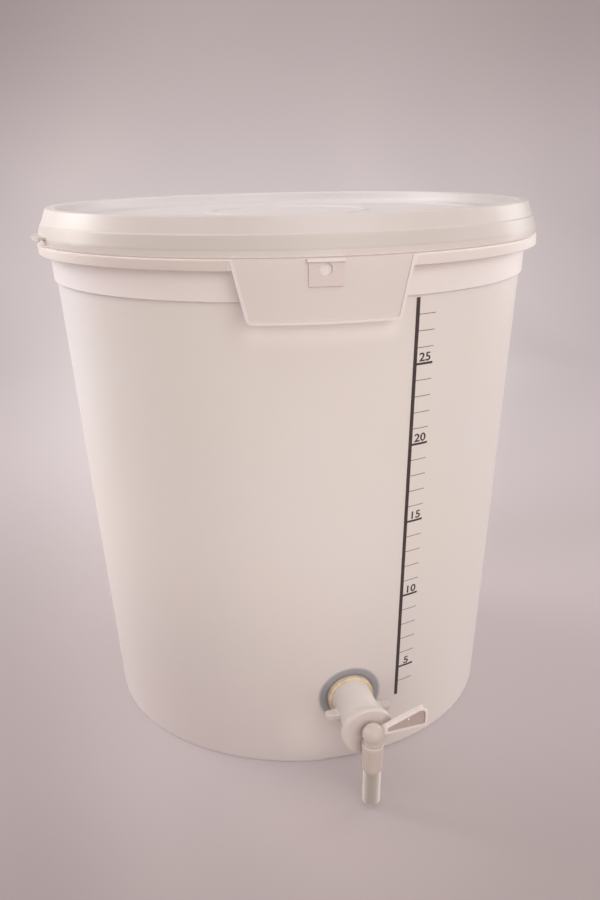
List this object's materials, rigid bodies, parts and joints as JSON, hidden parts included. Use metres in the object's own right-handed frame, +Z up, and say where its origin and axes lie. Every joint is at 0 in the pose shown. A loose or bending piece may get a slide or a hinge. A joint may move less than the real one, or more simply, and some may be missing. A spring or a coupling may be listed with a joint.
{
  "type": "fermentation bucket with tap",
  "caption": "White translucent plastic fermentation bucket with a snap lid, a litre scale and a key tap.",
  "frame": {"origin": "centre of the bucket's foot on the floor", "axes": "+Z up through the bucket's axis; -Y towards the front grip panel, beside which the tap sits; +X to the right seen from the front"},
  "size_m": [0.3747, 0.4092, 0.399],
  "materials": {
    "bucket_plastic": "translucent natural polypropylene, satin",
    "lid_plastic": "white polyethylene, satin",
    "tap_plastic": "white polypropylene, satin",
    "gasket_rubber": "tan, dull",
    "washer_rubber": "grey, dull",
    "nut_plastic": "white polypropylene, satin"
  },
  "bodies": {
    "tub": {"bucket": "bucket_plastic", "tap_body": "tap_plastic", "outer_gasket": "gasket_rubber", "inner_washer": "washer_rubber", "backnut": "nut_plastic"},
    "lid": {"lid": "lid_plastic"},
    "key": {"tap_key": "tap_plastic"}
  },
  "joints": [
    {"name": "lid_lift", "type": "slide", "parent": "tub", "child": "lid", "axis": [0, 0, 1], "range_m": [0, 0.15]},
    {"name": "tap_key_turn", "type": "hinge", "parent": "tub", "child": "key", "pos_m": [0.02561, -0.21166, 0.05618], "axis": [-0.0061, 0.0501, -0.9987], "range_deg": [0, 90]}
  ]
}
